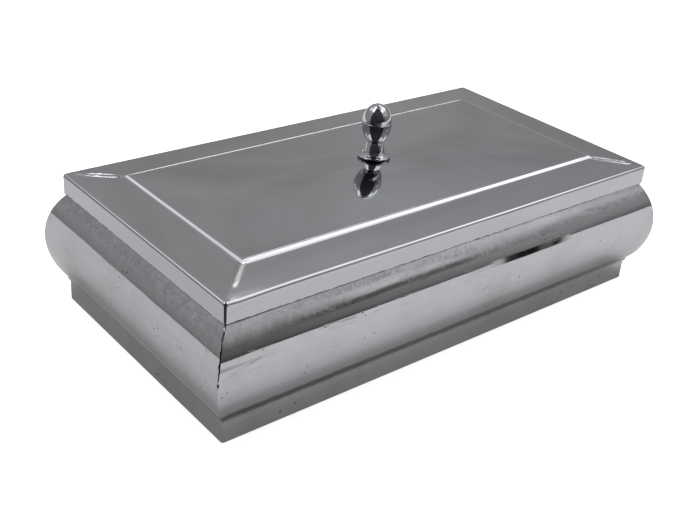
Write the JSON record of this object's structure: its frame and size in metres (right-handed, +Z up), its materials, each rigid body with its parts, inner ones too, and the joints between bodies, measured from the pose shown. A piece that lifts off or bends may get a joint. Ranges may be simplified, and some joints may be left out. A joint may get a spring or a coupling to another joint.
{
  "type": "silverware chest",
  "caption": "Low oblong silver-plated chest with swelling sides on a plinth and a hinged lid with an acorn knob; lined lanes inside hold flatware.",
  "frame": {"origin": "middle of the face that the chest rests on", "axes": "+X along the chest's length, +Y from the front to the hinged back, +Z up"},
  "size_m": [0.38, 0.208, 0.1389],
  "materials": {
    "side_plate": "polished silver plate, slightly worn",
    "plinth_plate": "polished silver plate",
    "lid_plate": "polished silver plate",
    "knob_plate": "bright polished silver plate",
    "carcass_wood": "oiled hardwood",
    "lining_cloth": "brown tarnish-resisting cloth over board",
    "divider_cloth": "brown tarnish-resisting cloth over board",
    "lid_cloth": "padded brown tarnish-resisting cloth",
    "baize": "green baize",
    "bumper_felt": "soft black pads",
    "brass": "satin brass",
    "steel": "zinc-plated steel"
  },
  "bodies": {
    "chest": {"base_baize": "baize", "base_board": "carcass_wood", "base_screws": "steel", "plinth_band": "plinth_plate", "front_side_sheet": "side_plate", "back_side_sheet": "side_plate", "left_side_sheet": "side_plate", "right_side_sheet": "side_plate", "front_wall": "carcass_wood", "back_wall": "carcass_wood", "left_wall": "carcass_wood", "right_wall": "carcass_wood", "sheet_pins": "brass", "floor_lining": "lining_cloth", "front_lining": "lining_cloth", "back_lining": "lining_cloth", "left_lining": "lining_cloth", "right_lining": "lining_cloth", "cross_divider": "divider_cloth", "front_lane_divider": "divider_cloth", "middle_lane_divider": "divider_cloth", "back_lane_divider": "divider_cloth", "left_hinge_body_leaf": "brass", "right_hinge_body_leaf": "brass", "left_hinge_pin": "brass", "right_hinge_pin": "brass", "body_hinge_screws": "brass"},
    "lid": {"lid_cover": "lid_plate", "lid_core_board": "carcass_wood", "panel_backing": "carcass_wood", "lid_lining": "lid_cloth", "lid_bumpers": "bumper_felt", "left_hinge_lid_leaf": "brass", "right_hinge_lid_leaf": "brass", "lid_hinge_screws": "brass", "knob_collar": "knob_plate", "knob_finial": "knob_plate", "knob_stud": "steel", "knob_washer": "steel", "knob_nut": "steel"}
  },
  "joints": [
    {"name": "lid_hinge", "type": "hinge", "parent": "chest", "child": "lid", "pos_m": [0, 0.097, 0.07925], "axis": [-1, 0, 0], "range_deg": [0, 100]}
  ]
}
